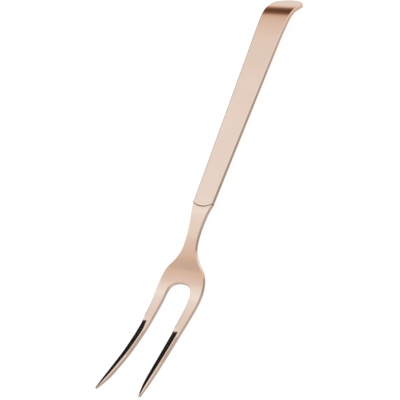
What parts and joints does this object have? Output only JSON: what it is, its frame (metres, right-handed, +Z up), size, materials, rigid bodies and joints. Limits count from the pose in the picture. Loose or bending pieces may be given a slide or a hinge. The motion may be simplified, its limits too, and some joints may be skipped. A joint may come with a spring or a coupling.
{
  "type": "two-tine carving fork",
  "caption": "Carving fork with a flat hollow handle that widens to a curled, round-ended grip, a waisted neck and long tines that curve forward to ground tips.",
  "frame": {"origin": "middle of the footprint, on the surface that the fork lies on", "axes": "+X from the tine tips towards the handle's end, +Z up out of the front face, the fork lying on its belly and the curled end"},
  "size_m": [0.2832, 0.0314, 0.0235],
  "materials": {
    "rose_copper": "polished stainless steel with a rose-copper coat",
    "cement": "filled resin cement, hidden",
    "braze": "darkened braze line"
  },
  "bodies": {
    "root": {"fork_head": "rose_copper", "handle_front_shell": "rose_copper", "handle_back_shell": "rose_copper", "handle_cement": "cement", "mouth_braze": "braze"}
  },
  "joints": []
}
